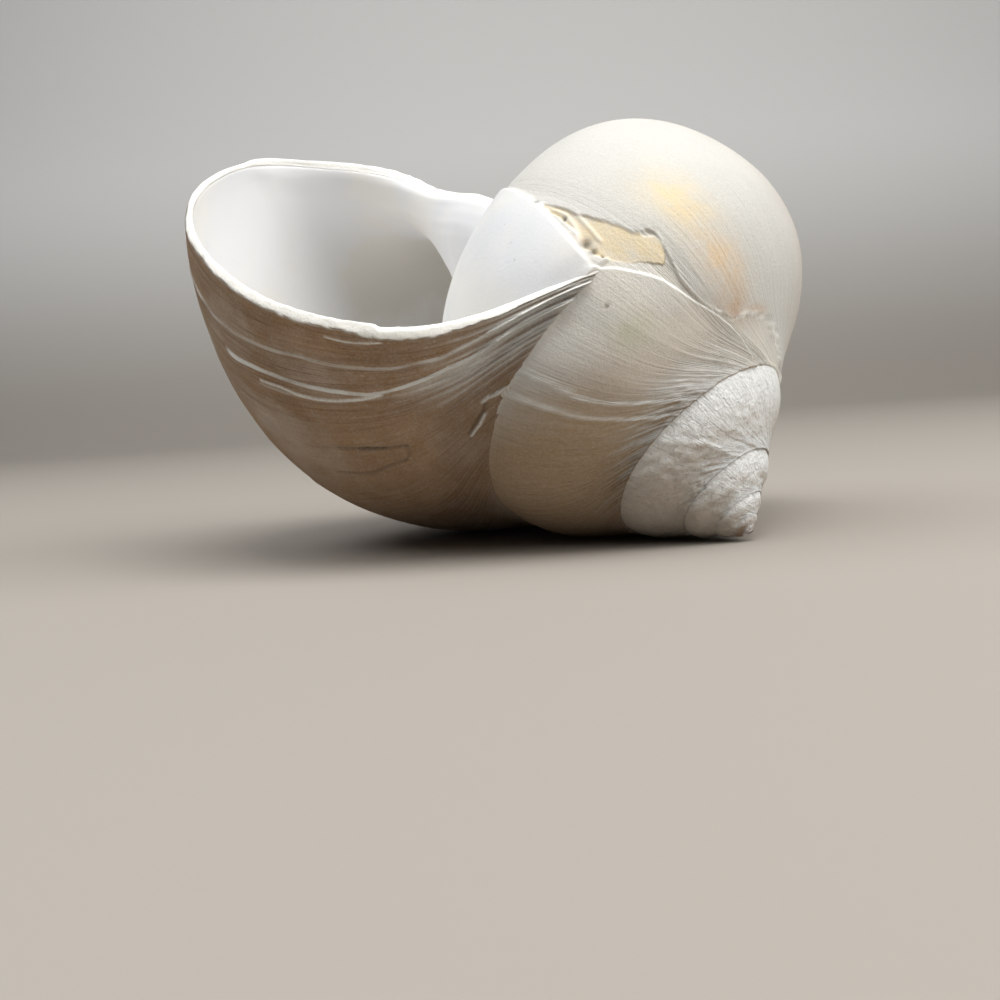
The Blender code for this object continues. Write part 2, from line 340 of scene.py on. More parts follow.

# Small holes, as (age, t, radius, depth), and how much wider they and their dirt and painted shade
# run out
HOLES = (
    (308.0, 3.42, 1.3, 0.40), (308.7, 3.27, 0.9, 0.40), (308.5, 3.13, 0.4, 0.35),
    (304.9, 3.90, 0.6, 0.40), (303.9, 4.40, 0.5, 0.40), (296.0, 5.07, 0.45, 0.4),
    (271.3, 3.76, 0.28, 0.2), (272.4, 3.64, 0.24, 0.2), (273.4, 3.58, 0.2, 0.2),
    (318.0, 2.60, 0.35, 0.3), (12.0, 4.05, 0.45, 0.3), (23.0, 3.4, 0.4, 0.25),
    (60.0, 2.6, 0.4, 0.3), (150.0, 3.1, 0.4, 0.3), (205.0, 5.2, 0.5, 0.4),
    (120.0, 5.8, 0.45, 0.4), (86.0, 4.4, 0.4, 0.3),
)
HOLE_REACH = 1.3
HOLE_DIRT_AND_SHADE_REACH = 1.2

# How far the whole outside is sunk, so that its ridges stay within the solid's size
SUNK = 0.22

# Fine relief, in millimetres: growth lines, pleats at the suture (everywhere, near the lip, on the
# older turns), wrinkles by the suture, the worn spire and its tip, broad lumps and the fold at the
# suture. Then the powers of size by which the growth lines, and all relief, are lower further back.
STRIA = 0.06
PLEAT, LIP_PLEAT, OLD_PLEAT = 0.10, 0.16, 0.10
WRINKLE, WRINKLE_GRAIN = 0.16, 0.10
SPIRE_GRAIN, TIP_KNOT = 0.17, 0.25
LUMP = 0.14
SUTURE_FOLD = 0.2
STRIA_GROWTH = 0.35
RELIEF_GROWTH = 0.3

# The chalky slope worn on the outside of the lip: its depth and grain, and its width by t
LIP_BEVEL = 1.2
LIP_GRAIN = 0.16
LIP_BAND = (
    (0.0, 1.8), (1.0, 2.2), (1.4, 2.5), (1.93, 2.4), (2.1, 2.0), (2.6, 1.6), (3.5, 1.3), (6.0, 1.2),
)

# The lip, all by t: how far its edge is broken back, in degrees, how thick it is, and how far it
# bulges, as a share of that
LIP_BREAK = (
    (0.0, 0.0), (0.9, 0.1), (1.5, 0.65), (1.93, 0.85), (1.98, 0.0), (4.4, 0.15), (4.9, 0.6),
    (5.96, 0.7), (6.02, 0.0), (10.0, 0.0),
)
LIP_THICKNESS = (
    (0.0, 2.2), (2.8, 2.1), (4.0, 1.7), (5.95, 1.6), (6.1, 2.0), (7.5, 2.2), (8.8, 3.2),
    (10.0, 3.8),
)
LIP_ROUNDNESS = ((0.0, 0.25), (5.9, 0.25), (6.3, 0.5), (10.0, 0.55))

# The rounded inner edge of the lip, elsewhere and at the columella: its length, and the share of
# the wall that it starts with
EDGE_LENGTH, COLUMELLA_EDGE_LENGTH = 1.6, 10.0
EDGE_SHARE, COLUMELLA_EDGE_SHARE = 0.75, 0.30

# Share of the wall that is left at the seams, and how far the sheets dip into the turn before there
SEAM_SHARE = 0.35
SUTURE_TUCK, NAVEL_TUCK = 1.54, 0.84

# Points of a line on the surface between two given ones
PATH_STEPS = 8


def inside(polygon, age, t):
    """Whether each point lies in a polygon of (age, t) points."""
    result = np.zeros(np.shape(age), bool)
    for (a0, t0), (a1, t1) in zip(polygon, polygon[1:] + polygon[:1]):
        if t0 == t1:
            continue
        crosses = (t0 > t) != (t1 > t)
        result ^= crosses & (age < a0 + (t - t0) * (a1 - a0) / (t1 - t0))
    return result


def distance(path, points):
    """Distance in millimetres of each point from a path of (age, t) points on the surface."""
    ages, ts = np.array(path, float).T
    knots = np.arange(len(path))
    fine = np.linspace(0, knots[-1], PATH_STEPS * knots[-1] + 1)
    line = surface(np.interp(fine, knots, ages), np.interp(fine, knots, ts))
    best = np.full(points.shape[:-1], np.inf)
    for a, b in zip(line[:-1], line[1:]):
        along = b - a
        share = np.clip((points - a) @ along / (along @ along), 0, 1)
        best = np.minimum(best, np.linalg.norm(points - a - share[..., None] * along, axis=-1))
    return best


def depth_in(region, edge, age, t, points):
    """How far each point lies inside a region from its edge, and less than 0 outside."""
    away = distance(edge, points)
    return np.where(inside(region, age, t), away, -away)


def layer_gone(age, t, points):
    """How far each point lies outside the chalky layer, in millimetres, along a ragged edge."""
    ragged = 0.35 * in_space(points, 0.9, seed=31) + 0.15 * in_space(points, 2, seed=32)
    ragged = ragged * (until(t, 1.9, 0.4) + 0.3)
    return depth_in(LAYER_GONE, LAYER_EDGE, age, t, points) + ragged


def crust_share(points):
    """How much of the crust is left along the edge of the layer."""
    return ease(0.75 + 1.2 * in_space(points, 0.6, seed=35))


def chip_share(age, t, points):
    """1 in the chip, 0 outside, with a ragged and steep wall between."""
    ragged = 0.25 * in_space(points, 1.1, seed=33)
    return since(depth_in(CHIP, CHIP + CHIP[:1], age, t, points) + ragged, -0.15, 0.35)


def hill(at, across, radius, points):
    """A round hill of height 1 at an age and t, which falls to nothing at the radius."""
    centre = surface(np.array(at), np.array(across))
    return bump(np.linalg.norm(points - centre, axis=-1) / radius)


def step(behind, slope):
    """A step of height 1 that slopes away behind its crest."""
    return ease(behind / STEP_WIDTH) * np.exp(-np.maximum(behind, 0) / slope)


def striae(age, t):
    """Fine growth lines, stronger at the suture and near the lip."""
    length = grown_length(age)
    line = length + 0.5 * noise(t * 1.5, length * 0.15, seed=1)
    fine = 0.6 * noise(line * 0.9, t * 0.5, seed=2) + 0.4 * noise(line * 1.9, t * 0.8, seed=3)
    broad = noise(line * 0.3, t * 0.25, seed=4)
    folded = 1 - 2 * np.abs(noise(line * 0.42, t * 0.35, seed=5))
    near_lip = until(age, 28, 28)
    old_turn = since(age, 330, 20) * until(age, 500, 40)
    pleats = (PLEAT + LIP_PLEAT * near_lip + OLD_PLEAT * old_turn) * until(t, 1.3, 1.3)
    worn = 1 - 0.75 * since(age, 20, 10) * until(age, 345, 8) * since(t, 0.7, 0.6)
    return shrunk(age, STRIA_GROWTH) * (worn * STRIA * (fine + broad) + pleats * folded)


def wrinkles(age, t, points):
    """Short folds where the older turns meet the suture."""
    band = until(t, 1.1, 1.1) * since(age, 318, 12) * until(age, 470, 30)
    crossing = noise(grown_length(age) * 0.9 + 2.2 * t, t * 5, seed=7)
    return band * (WRINKLE * crossing + WRINKLE_GRAIN * in_space(points, 0.9, seed=8, octaves=2))


def spire_wear(age, t, points):
    """Worn, rough surface of the first turns, with creases at the suture and knots at the tip."""
    creases = 1 - 2 * np.abs(noise(grown_length(age) * 0.7, t * 1.5, seed=14))
    rough = in_space(points, 0.8, seed=9, octaves=3) + 0.7 * creases * ease(1.2 - t / 1.6)
    knots = in_space(points, 0.45, seed=13)
    return SPIRE_GRAIN * since(age, 600, 60) * rough + TIP_KNOT * since(age, 880, 200) * knots


def scars(age, t):
    """Height of the growth scars, and how far behind the nearest bright crest each point lies and
    how bright that is; the bright crest is part worn chalk and part painted highlight."""
    length = grown_length(age)
    height, crests = 0, []
    for at, by_suture, elsewhere, slope, last in SCARS:
        wanders = isinstance(at, tuple)
        seed = int((at[0][1] if wanders else at) * 10)
        wander = 0.20 * noise(t * 2.5, seed=seed) + 0.1 * noise(t * 8, seed=seed + 2)
        behind = length - grown_length(through(at, t) if wanders else at) - wander
        rise = elsewhere + (by_suture - elsewhere) * until(t, SUTURE_BAND, SUTURE_BAND)
        rise = rise * until(t, last + 0.15, 0.3) * (0.8 + 0.2 * noise(t * 6, seed=seed + 1))
        height = height + rise * step(behind, slope)
        crests.append((behind - CREST_BEHIND, (rise - CREST_LOW) / CREST_RANGE))
    behind = length - grown_length(through(STEP_LINE, t))
    crests.append((behind - CREST_BEHIND, until(t, 3.2, 0.2)))

    nearest, power = np.full(np.shape(age), FAR), np.zeros(np.shape(age))
    for behind, strength in crests:
        nearer = np.abs(behind) < np.abs(nearest)
        nearest = np.where(nearer, behind, nearest)
        power = np.where(nearer, strength, power)
    on_back = since(age, 34, 6) * until(age, 290, 4)
    on_old_turn = since(age, 320, 10) * (0.3 + 0.3 * since(t, 1.2, 0.8))
    under_bright_scar = 0.6 * since(age, 14.5, 2) * until(t, 1.5, 0.4) * until(age, 80, 20)
    power = power * (1 - on_back) * (1 - on_old_turn) * (1 - under_bright_scar)
    nearest = nearest * (1 - 0.45 * until(t, 1.9, 0.9) * until(age, 60, 20))
    power = np.clip(power, 0, 1) * until(np.abs(nearest), CREST_REACH, 0.25)
    return height, np.clip(nearest, -2, 2), power


def lip_bevel(age, t, points):
    """Depth of the slope worn on the outside of the lip, and its grain."""
    share = grown_length(age) / through(LIP_BAND, t)
    worn = LIP_BEVEL * np.clip(1 - share, 0, 1) ** 1.4 * until(t, 6.1, 0.3) * since(t, -0.1, 0.9)
    return worn + LIP_GRAIN * in_space(points, 0.8, seed=12) * ease(1.2 - share)


def relief(age, t, points):
    """Height of everything that stands on the plain grown form of the outside."""
    callus = since(age, through(CALLUS_EDGE, t), 1.6) * until(age, 390, 70)
    callus = callus * since(t, CALLUS_START, 0.2)
    height = (striae(age, t) + wrinkles(age, t, points)) * (1 - 0.9 * callus)
    height = height + spire_wear(age, t, points) + scars(age, t)[0]
    height = height + CALLUS_HEIGHT * callus * since(t, 3.0, 0.5) * until(t, 8.2, 1.2)

    behind = grown_length(age) - grown_length(through(STEP_LINE, t)) - 0.15 * noise(t * 7, seed=21)
    height = height + STEP_HEIGHT * until(t, 3.25, 0.2) * step(behind, STEP_SLOPE)
    gone = layer_gone(age, t, points)
    young = until(age, 352, 30)
    crust = bump((gone - 0.1) / 0.6) * crust_share(points) * until(t, CRUST_END, 0.2)
    height = height + CRUST_HEIGHT * crust * young
    chip = chip_share(age, t, points)
    height = height - (1 - chip) * LAYER_HEIGHT * ease(gone / 0.35 + 0.5) * young
    height = height - chip * (CHIP_DEPTH + CHIP_SLOPE * since(age, 299, 8))

    for (width, tall), path in STRIPS:
        height = height + tall * bump(distance(path, points) / width)
    for (width, depth), path in CRACKS:
        height = height - depth * bump(distance(path, points) / width)
    for at, across, radius, depth in HOLES:
        height = height - depth * hill(at, across, HOLE_REACH * radius, points)
    height = height + LUMP * in_space(points, 0.12, seed=10)
    height = height + SUTURE_FOLD * bump((t - 0.12) / 0.12)
    return height - lip_bevel(age, t, points) - SUNK


def lip_break(t):
    """How far the edge of the lip is broken back, in degrees, with small chips."""
    return through(LIP_BREAK, t) + 0.10 * noise(t * 8, seed=41) + 0.10 * noise(t * 25, seed=42)


def wall(age, t):
    """Thickness of the wall."""
    grown = WALL + (COLUMELLA_WALL - WALL) * since(t, 6.5, 2.5)
    grown = grown * shrunk(age + sweep(t), WALL_GROWTH)
    edge = through(LIP_THICKNESS, t)
    return edge + (grown - edge) * ease(age / LIP_TAPER)


def normals(points):
    """Outward unit normals of a grid whose rows grow older and whose columns follow t."""
    back = np.gradient(points, axis=0)
    across = np.gradient(points, axis=1)
    normal = np.cross(across, back)
    return normal / np.maximum(np.linalg.norm(normal, axis=-1, keepdims=True), 1e-9)


def rows(*runs):
    """Grid rows from (from, to, step) runs, each of which goes on where the one before ends."""
    grid = [
        np.linspace(start, stop, round((stop - start) / between), endpoint=False)
        for start, stop, between in runs
    ]
    return np.append(np.concatenate(grid), runs[-1][1])


# Grid lines of the sheets, by age and by t. The hollow is a piece of its own from INNER_SPLIT on.
OUTER_AGES = rows(
    (0, 17, 0.25), (17, 50, 0.5), (50, 285, 3.0), (285, 293, 0.5), (293, 312, 0.25),
    (312, 370, 1.0), (370, 480, 2.5),
)
INNER_AGES = rows((0.25, 1, 0.25), (1, 6, 0.5), (6, 30, 1.5), (30, 150, 3.0), (150, 330, 7.0))
INNER_SPLIT = 13
ACROSS = rows((0, 0.2, 0.02), (0.2, 1, 0.03), (1, 4.5, 0.027), (4.5, 7.5, 0.1), (7.5, 10, 0.08))
SPIRE_AGES = rows((476, 900, 2.0), (900, 2160, 4.0))
SPIRE_ACROSS = rows((0, 0.2, 0.03), (0.2, 3.3, 0.06))
NAVEL_AGES = rows((476, 1500, 6.0))
NAVEL_ACROSS = rows((7.0, 10, 0.2))
RIM_STEPS = 5

# How far the first turns lie under the outside where the two overlap
OVERLAP_DEPTH = 0.12


def tuck(t):
    """How far the two edges of a sheet dip into the turn before, in millimetres."""
    return SUTURE_TUCK * until(t, 0.09, 0.09) + NAVEL_TUCK * since(t, 9.85, 0.15)


def rounded(length, t):
    """Share of its thickness that the wall has this far behind its rounded inner edge."""
    columella = since(t, 5.7, 0.9)
    reach = EDGE_LENGTH + (COLUMELLA_EDGE_LENGTH - EDGE_LENGTH) * columella
    low = EDGE_SHARE + (COLUMELLA_EDGE_SHARE - EDGE_SHARE) * columella
    return low + (1 - low) * np.sqrt(1 - (1 - np.clip(length / reach, 0, 1)) ** 2)


def grid(ages, ts):
    """Age and t of each point of a sheet, with the rows behind the lip moved back where it is
    broken."""
    age, t = np.meshgrid(ages, ts, indexing="ij")
    return age + lip_break(t) * until(age, 5, 5), t


def outer_sheet(ages, ts):
    """Points of the outside, and the age and t of each."""
    age, t = grid(ages, ts)
    plain = surface(age, t)
    height = relief(age, t, plain) * shrunk(age, RELIEF_GROWTH) - tuck(t)
    return plain + height[..., None] * normals(plain), age, t


def inner_sheet(ages, ts):
    """Points of the inside, from the lip into the hollow."""
    age, t = grid(ages, ts)
    length = grown_length(age)
    seam = SEAM_SHARE + (1 - SEAM_SHARE) * ease(t / 0.5) * until(t, END, 0.3)
    soft = 0.10 * noise(length * 0.06, t * 1.2, seed=51)
    soft = soft + 0.05 * noise(length * 0.25, t * 2, seed=52)
    thick = wall(age, t) * seam * rounded(length, t) + soft * ease(age / 8)
    return place(section(age, t) + thick[..., None] * inward(age, t), age, t), age, t


def rim(outer, inner, t):
    """Rows round the edge of the lip, from the last outer row to the first inner row."""
    middle = (outer[0] + inner[0]) / 2
    half = (outer[0] - inner[0]) / 2
    forward = outer[0] - outer[2]
    forward /= np.linalg.norm(forward, axis=-1, keepdims=True)
    thick = 2 * np.linalg.norm(half, axis=-1, keepdims=True)
    out = forward * thick * through(LIP_ROUNDNESS, t)[:, None]
    turns = np.linspace(0, math.pi, RIM_STEPS + 2)[1:-1]
    return np.array([middle + half * math.cos(turn) + out * math.sin(turn) for turn in turns])


def turned(points):
    """Points as the shell lies, in metres, worn flat where it rests."""
    world = points @ LYING.T + TIP
    world[..., 2] = np.maximum(world[..., 2], 0.0)
    return world * MM


def facing_down(points):
    """How far a piece's outside faces down as the shell lies, from -1 to 1. Its rows grow younger,
    so the normals of its grid point inwards."""
    return (normals(points) @ LYING.T)[..., 2]


def quads(row_count, column_count, first=0):
    """Corner numbers of the faces of a grid."""
    row, column = np.meshgrid(np.arange(row_count - 1), np.arange(column_count - 1), indexing="ij")
    corner = first + row * column_count + column
    corners = (corner, corner + 1, corner + column_count + 1, corner + column_count)
    return np.stack(corners, -1).reshape(-1, 4)


# Stains as soft patches: (strength, age, t, half size in degrees, half size in t)
STAINS = {
    "yellow": ((1.0, 283.6, 3.16, 7, 0.5),),
    "orange": ((1.0, 284.5, 2.2, 7, 0.5),),
    "rust": ((1.0, 288.3, 1.5, 7, 0.4), (1.0, 279, 1.3, 6, 0.12),
             (0.8, 5.0, 2.45, 2.5, 0.3), (0.5, 45, 1.2, 14, 1.3)),
    "peach": ((1.0, 313, 3.54, 5, 0.25),),
    "green": ((1.0, 320, 2.1, 6, 0.35), (1.0, 17, 4.0, 5, 0.3)),
    "tip": ((1.0, 1232, 2.3, 20, 0.5), (1.0, 1900, 1.5, 200, 1.5)),
}
# A taupe patch deep in the hollow: part stain, part painted shade
HOLLOW_STAIN_AND_SHADE = (1.0, 85, 5.0, 52, 3.0)
CHIP_YELLOW = 0.85

# Where fine lines are worn away: share, ages from and to with the lengths of their slopes, and the
# t from which, with its slope
LINES_WORN = (
    (0.70, (55, 60), (300, 8), (-1.0, 1.0)),
    (0.65, (20, 8), (80, 20), (0.8, 0.5)),
    (0.80, (300, 6), (345, 8), (0.9, 0.6)),
    (0.75, (262, 20), (330, 3), (2.9, 0.3)),
)

# Width of the dirt and painted shade along the suture, in millimetres
SUTURE_DIRT_AND_SHADE = 1.3


def stain(age, t, patches):
    """How strong a stain of soft patches is."""
    return sum(
        strength * np.exp(-(((age - at) / wide) ** 2 + ((t - across) / high) ** 2))
        for strength, at, across, wide, high in patches
    )


def weathering_and_shade(age, t, points):
    """Brown of the last turn, part stain and part painted shade, softer round the back, in soft
    mottles.
    """
    hidden = since(age, 60, 70)
    mottle = in_space(points, 0.07, seed=61, octaves=3)
    share = 0.95 - 0.60 * hidden + (0.3 - 0.12 * hidden) * mottle
    return np.clip(until(age, 262, 60) * until(t, 7.5, 2) * share, 0, 1)


def dirt_and_shade(age, t, points):
    """Dirt with painted shade in the cracks, the holes and the suture, darker in deeper cracks."""
    dirt_and_shade_share = 0.8 * until(t * T_LENGTH * shrunk(age), SUTURE_DIRT_AND_SHADE, SUTURE_DIRT_AND_SHADE)
    dirt_and_shade_share = dirt_and_shade_share * (1 - 0.75 * since(age, 880, 120))
    for (width, depth), path in CRACKS:
        reach = CRACK_DIRT_AND_SHADE_REACH * width
        dirt_and_shade_share = dirt_and_shade_share + depth / DARKEST_DEPTH * bump(distance(path, points) / reach)
    for at, across, radius, _ in HOLES:
        dirt_and_shade_share = dirt_and_shade_share + hill(at, across, HOLE_DIRT_AND_SHADE_REACH * radius, points)
    return np.clip(dirt_and_shade_share, 0, 1)


def flakes(age, t, points, gone, chip):
    """Bright broken edges of the layer, and the strips."""
    crust = 1.2 * bump((gone - 0.15) / 0.7) * crust_share(points) * until(t, CRUST_END, 0.2)
    edge = 0.7 * bump((gone + 0.2) / 0.5) * since(t, 1.4, 0.2)
    bright = (crust + edge) * until(age, 400, 30)
    for (width, _), path in STRIPS:
        bright = bright + (1.3 - 0.9 * chip) * bump(distance(path, points) / width)
    return np.clip(bright, 0, 1)


def lined(age, t, callus, chip):
    """How clearly fine growth lines show."""
    share = (1 - callus) * (1 - 0.8 * chip)
    for worn, start, stop, from_t in LINES_WORN:
        share = share * (1 - worn * since(age, *start) * until(age, *stop) * since(t, *from_t))
    return share


def masks(age, t, grid_points, inner):
    """What lies where on the surface, as numbers from 0 to 1. line_at is in millimetres."""
    points = surface(age, t)
    outside = 1 - inner
    gone = layer_gone(age, t, points)
    chip = chip_share(age, t, points) * outside
    callus = since(age, through(CALLUS_EDGE, t), 2) * since(t, CALLUS_START, 0.3) * outside
    scar_height, line_at, crest_white_and_highlight = scars(age, t)
    spire = since(age, 560, 60)
    old_suture = since(age, 335, 20)
    wrinkled = until(t, 0.9, 0.9) * old_suture * until(age, 430, 40)
    low_side = ease(facing_down(grid_points) / 0.55)
    band = 1.1 + 0.16 * noise(t * 5, seed=44) + 0.12 * noise(t * 17, seed=45)
    band = band * through(LIP_BAND, t)
    found = {name: stain(age, t, patches) for name, patches in STAINS.items()}
    found["yellow"] = found["yellow"] + CHIP_YELLOW * chip
    found.update({
        "edge": until(grown_length(age), band, 0.5),
        # The brown of the last turn is part weathered stain and part painted shade
        "weather_and_shade": weathering_and_shade(age, t, points),
        "under": ease(gone / 0.8) * until(age, 338, 22) * (1 - chip),
        "crest_white_and_highlight": crest_white_and_highlight,
        "flake": flakes(age, t, points, gone, chip),
        # Dirt with painted shade in the suture, cracks and holes
        "dirt_and_shade": dirt_and_shade(age, t, points),
        "spire": spire,
        # Scar tops made lighter: part worn chalk, part painted highlight
        "ridges": since(scar_height, 0.06, 0.30) * until(t, 1.7, 0.6) * until(age, 30, 8),
        # Painted shade that dims the upturned top of the last turn
        "dome_painted_shade": since(age, 55, 60) * until(age, 310, 12),
        # Painted shade on the older turns where they face down as the shell lies
        "underside_painted_shade": low_side * since(age, 290, 20) * (1 - 0.35 * spire),
        "folds": until(t, 1.0, 1.0) * (until(age, 40, 40) + old_suture * until(age, 480, 60)),
        "wrinkled": np.clip(wrinkled + 0.8 * spire, 0, 1),
    })
    found = {name: share * outside for name, share in found.items()}
    found.update({
        "chip": chip,
        "callus": callus,
        "inner": inner,
        "line_at": line_at,
        "lined": lined(age, t, callus, chip),
        # Taupe deep in the hollow: part stain, part painted shade
        "taupe_and_shade": stain(age, t, (HOLLOW_STAIN_AND_SHADE,)) * inner,
        "growth": grown_length(age),
        "across": t * T_LENGTH,
    })
    return found


def make_piece(name, sheets):
    """One visible piece from sheets of (points, age, t, share that is inside)."""
    vertices, faces, fields, first = [], [], [], 0
    for points, age, t, inside_share in sheets:
        vertices.append(turned(points).reshape(-1, 3))
        faces.append(quads(*points.shape[:2], first))
        here = masks(age, t, points, inside_share)
        fields.append({key: np.asarray(value, float).reshape(-1) for key, value in here.items()})
        first += points.shape[0] * points.shape[1]
    mesh = bpy.data.meshes.new(name)
    mesh.from_pydata(np.concatenate(vertices).tolist(), [], np.concatenate(faces).tolist())
    for key in fields[0]:
        values = np.concatenate([field[key] for field in fields]).astype(np.float32)
        mesh.attributes.new(key, "FLOAT", "POINT").data.foreach_set("value", values)
    mesh.shade_smooth()
    mesh.validate()
    piece = bpy.data.objects.new(name, mesh)
    bpy.context.scene.collection.objects.link(piece)
    return piece


def shell_pieces():
    """The outside with the lip, the hollow behind the lip, and the first turns."""
    outer, outer_age, outer_t = outer_sheet(OUTER_AGES, ACROSS)
    inner, inner_age, inner_t = inner_sheet(INNER_AGES, ACROSS)
    edge = rim(outer, inner, ACROSS)
    flat = np.ones((RIM_STEPS, 1))
    near, far = slice(0, INNER_SPLIT + 1), slice(INNER_SPLIT, None)
    outside = (
        np.concatenate((outer[::-1], edge, inner[near])),
        np.concatenate((outer_age[::-1], flat * outer_age[0], inner_age[near])),
        np.concatenate((outer_t[::-1], flat * ACROSS, inner_t[near])),
        np.concatenate((
            np.zeros_like(outer_age),
            np.zeros((RIM_STEPS, len(ACROSS))),
            ease(grown_length(inner_age[near]) / 2.0),
        )),
    )
    hollow = (inner[far], inner_age[far], inner_t[far], np.ones_like(inner_age[far]))
    first_turns = []
    for ages, ts in ((SPIRE_AGES, SPIRE_ACROSS), (NAVEL_AGES, NAVEL_ACROSS)):
        points, age, t = outer_sheet(ages, ts)
        under = OVERLAP_DEPTH * until(age, 484, 6)
        points = points - normals(surface(age, t)) * under[..., None]
        first_turns.append((points[::-1], age[::-1], t[::-1], np.zeros_like(age)))
    return [
        make_piece("shell_outside", [outside]),
        make_piece("shell_hollow", [hollow]),
        make_piece("shell_first_turns", first_turns),
    ]


class Surface:
    """Short ways to make the nodes of a material."""

    def __init__(self, name):
        self.material = bpy.data.materials.new(name)
        self.material.use_nodes = True
        self.tree = self.material.node_tree
        self.shader = self.tree.nodes["Principled BSDF"]

    def node(self, kind, settings=(), inputs=(), output=0):
        """A new node with its settings and inputs, given back as one of its outputs."""
        made = self.tree.nodes.new(kind)
        for name, value in dict(settings).items():
            setattr(made, name, value)
        for name, value in dict(inputs).items():
            self.give(made.inputs[name], value)
        return made.outputs[output]

    def give(self, socket, value):
        """Link another node's output to a socket, or set its value."""
        if isinstance(value, bpy.types.NodeSocket):
            self.tree.links.new(value, socket)
        elif isinstance(value, tuple) and socket.type == "RGBA":
            socket.default_value = (*value, 1.0)
        else:
            socket.default_value = value

    def mask(self, name):
        """A number that is kept with each vertex."""
        return self.node("ShaderNodeAttribute", {"attribute_name": name}, output="Fac")

    def math(self, operation, a, b=0.0, c=0.0, clamp=False):
        """A calculation with up to three numbers."""
        settings = {"operation": operation, "use_clamp": clamp}
        return self.node("ShaderNodeMath", settings, {0: a, 1: b, 2: c})

    def times(self, a, b):
        """The product of two numbers."""
        return self.math("MULTIPLY", a, b)

    def scaled(self, vector, x, y, z):
        """A vector with each of its parts scaled."""
        inputs = {0: vector, 1: (x, y, z)}
        return self.node("ShaderNodeVectorMath", {"operation": "MULTIPLY"}, inputs)

    def noise(self, vector, scale, detail=3.0, rough=0.5, warp=0.0):
        """Smooth noise from 0 to 1 at a vector."""
        inputs = {"Vector": vector, "Scale": scale, "Detail": detail, "Roughness": rough}
        return self.node("ShaderNodeTexNoise", {}, {**inputs, "Distortion": warp}, "Fac")

    def spread(self, value, low, high, to_low=0.0, to_high=1.0):
        """A smooth step of a value between low and high."""
        settings = {"clamp": True, "interpolation_type": "SMOOTHSTEP"}
        inputs = {"Value": value, "From Min": low, "From Max": high}
        inputs.update({"To Min": to_low, "To Max": to_high})
        return self.node("ShaderNodeMapRange", settings, inputs, "Result")

    def mix(self, share, a, b):
        """Colour a with a share of colour b over it. The inputs are the node's colour ones."""
        inputs = {0: share, 6: a, 7: b}
        return self.node("ShaderNodeMix", {"data_type": "RGBA"}, inputs, 2)

    def bump(self, distance, height, normal=None):
        """The normal of a height in metres, on top of another."""
        inputs = {"Strength": 1.0, "Distance": distance, "Height": height}
        if normal is not None:
            inputs["Normal"] = normal
        return self.node("ShaderNodeBump", {}, inputs, "Normal")


# Colours of the chalk and of the spire, and painted shade that dims the upturned dome
CHALK = (0.80, 0.785, 0.745)
CHALK_GREY = (0.62, 0.615, 0.59)
CHALK_BRIGHT = (1.0, 0.99, 0.95)
DOME_PAINTED_SHADE = (0.56, 0.55, 0.515)
SPIRE_WHITE = (0.92, 0.93, 0.92)
BLUISH = (0.58, 0.60, 0.625)
LIP_WHITE = (0.93, 0.92, 0.87)

# Weathering that is part painted shade, painted shade below, dirt with painted shade, and specks
# Browns of the last turn: weathered stain, darkened and warmed as painted shade
WEATHERED_AND_SHADED = (0.355, 0.207, 0.096)
WEATHERED_AND_SHADED_DARK = (0.215, 0.117, 0.052)
# Painted shade on faces turned down as the shell lies
UNDERSIDE_PAINTED_SHADE = (0.40, 0.255, 0.12)
TIP_BROWN = (0.25, 0.13, 0.06)
GREY_SPECK = (0.33, 0.33, 0.33)
# Dirt, and painted shade in the suture, cracks and holes
DIRT_AND_SHADE = (0.07, 0.052, 0.035)

# Stains of the outside: (mask, colour, share)
TINTS = (
    ("under", (0.74, 0.68, 0.57), 0.50),
    ("yellow", (0.80, 0.63, 0.345), 0.90),
    ("orange", (0.75, 0.52, 0.28), 0.80),
    ("rust", (0.50, 0.31, 0.17), 0.80),
    ("peach", (0.84, 0.68, 0.54), 0.80),
    ("green", (0.55, 0.56, 0.38), 0.70),
)

# The inside, with a taupe that is part stain and part painted shade, and the callus
PORCELAIN = (0.93, 0.915, 0.885)
PORCELAIN_BLUE = (0.87, 0.88, 0.905)
TAUPE_AND_SHADE = (0.74, 0.70, 0.63)
CALLUS_WHITE = (0.82, 0.81, 0.78)
CALLUS_BLUE = (0.745, 0.76, 0.785)

# Finish: roughness of the chalk, how much smoother porcelain is, specular level, and the heights
# of the fine relief in metres
MATTE = (0.72, 0.88)
PORCELAIN_SMOOTHER = 0.36
SPECULAR = 0.35
LINE_HEIGHT, FOLD_HEIGHT, CHALK_HEIGHT = 0.00070, 0.00075, 0.00012


